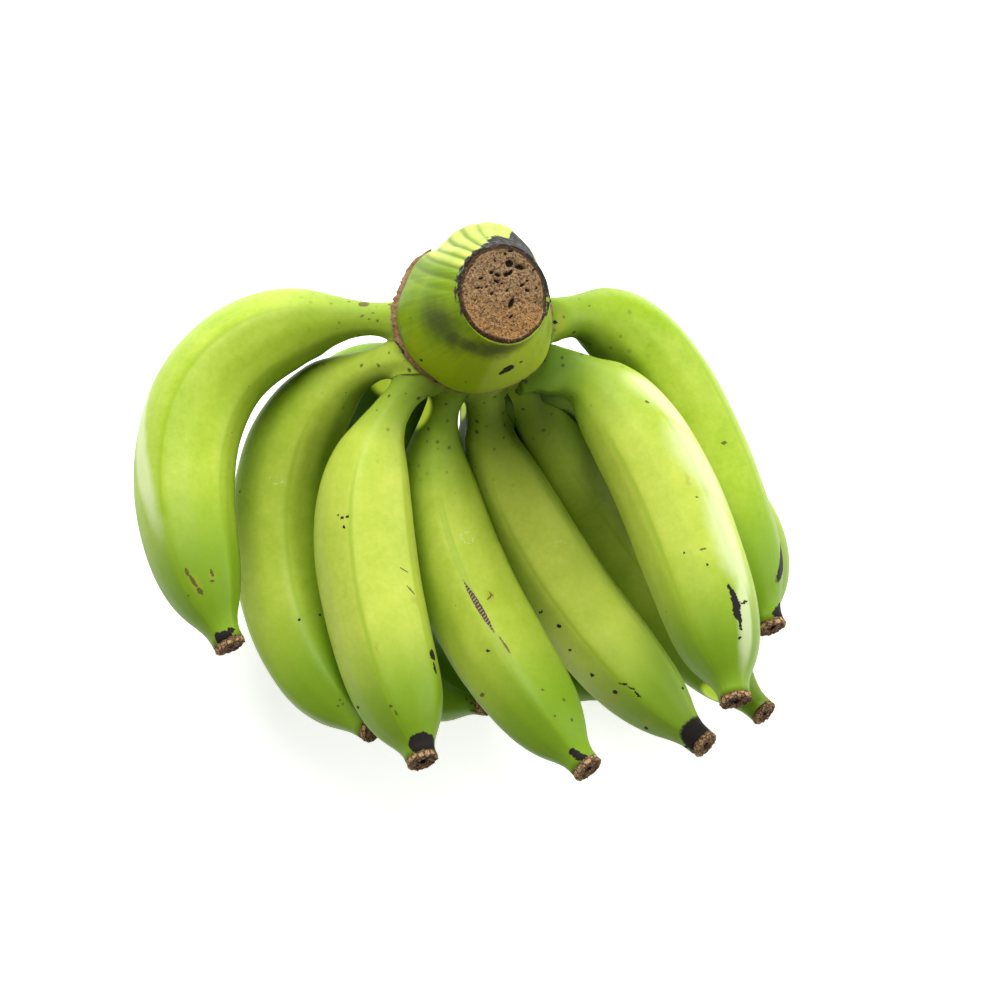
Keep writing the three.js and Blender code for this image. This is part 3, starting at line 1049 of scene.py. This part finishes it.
def cutMaterial():
    material, s = newMaterial("cut fibre")
    look = dryLook
    where = s.node("TexCoord", output="Object")
    fromMiddle, pore = attribute(s, "fromMiddle"), attribute(s, "pore")
    threads = cracked(s, shaken(where, 500, 2.2), 720).ramp(0.13, 0.02)
    grain, patches = where.noise(1100, 4, 0.75), where.noise(230, 3, 0.6)
    y = s.node("SeparateXYZ", {}, {0: where}, "Y")
    colour = blend(s, (y + patches * 0.008).ramp(*look["orangeFrom"]), look["grey"], look["orange"])
    colour = blend(s, patches.ramp(0.42, 0.6) * 0.7, colour, look["brown"])
    colour = blend(s, grain.ramp(0.46, 0.6) * 0.8, colour, look["dark"])
    colour = blend(s, threads * grain.ramp(0.62, 0.45) * 0.75, colour, look["tan"])
    outer = (fromMiddle + (where.noise(600) - 0.5) * 0.08).ramp(0.83, 0.9)
    burnt = blend(s, specks(s, where, 900, 0.45, 0.8), look["dark"], look["brown"])
    colour = blend(s, outer * 0.85, colour, burnt)
    # painted highlight: pale tan along the raised rim
    rim = fromMiddle.ramp(0.845, 0.865) * fromMiddle.ramp(0.89, 0.87) * where.noise(300).ramp(0.35, 0.6)
    colour = blend(s, rim * 0.7, colour, look["tan"])
    colour = blend(s, pore.ramp(0.25, 0.7), colour, look["deepest"])
    height = threads * 0.7 + grain * 0.8 - outer * 0.2
    finish(s, Base_Color=colour, Roughness=look["roughness"], Normal=bump(s, height, 0.9, 0.8),
           Specular_IOR_Level=0.15)
    return material


def scarMaterial():
    material, s = newMaterial("bract scar cork")
    look = dryLook
    where = s.node("TexCoord", output="Object")
    grain, patches = where.noise(1300, 4, 0.7), where.noise(260, 3, 0.6)
    colour = blend(s, patches.ramp(0.35, 0.65), look["cork"], look["brown"])
    colour = blend(s, grain.ramp(0.5, 0.7) * 0.8, colour, look["dark"])
    colour = blend(s, where.noise(150).ramp(0.62, 0.68), colour, look["sooty"])
    finish(s, Base_Color=colour, Roughness=0.8, Normal=bump(s, grain + patches, 0.7, 0.5),
           Specular_IOR_Level=0.25)
    return material


def tipMaterial():
    material, s = newMaterial("dry tip")
    look = dryLook
    where = s.node("TexCoord", output="Object")
    fromMiddle = attribute(s, "fromMiddle")
    grain, patches = where.noise(1500, 4, 0.7), where.noise(500, 3, 0.6)
    cracks = cracked(s, shaken(where, 600, 1.5), 420)
    # painted highlight: pale tan along the raised rim of the end
    rim = (fromMiddle + (grain - 0.5) * 0.3).ramp(0.84, 0.96) * (1 - fromMiddle.ramp(1.02, 1.08))
    colour = blend(s, patches.ramp(0.35, 0.65), look["brown"], look["cork"])
    colour = blend(s, rim, colour, look["tan"])
    colour = blend(s, cracks.ramp(0.1, 0.03) * 0.75, colour, look["dark"])
    colour = blend(s, grain.ramp(0.48, 0.62) * 0.8, colour, look["dark"])
    colour = blend(s, (fromMiddle + (patches - 0.5) * 0.3).ramp(0.36, 0.2), colour, look["deepest"])
    finish(s, Base_Color=colour, Roughness=look["roughness"],
           Normal=bump(s, grain + cracks.ramp(0.02, 0.12), 0.9, 0.5), Specular_IOR_Level=0.2)
    return material


def floorMaterial():
    material, s = newMaterial("pale floor")
    finish(s, Base_Color=light["floor"], Roughness=0.8, Emission_Color=(1, 1, 1, 1),
           Emission_Strength=light["floorGlow"])
    return material


for number in range(len(limbs)):
    peel.data.materials.append(peelMaterial(number))
peel.data.polygons.foreach_set("material_index", limbOfFace)
looks = {crownCap: capMaterial, cutFace: cutMaterial, bractScar: scarMaterial, dryTips: tipMaterial,
         floor: floorMaterial}
for piece, made in looks.items():
    piece.data.materials.append(made())
print("materials are made")
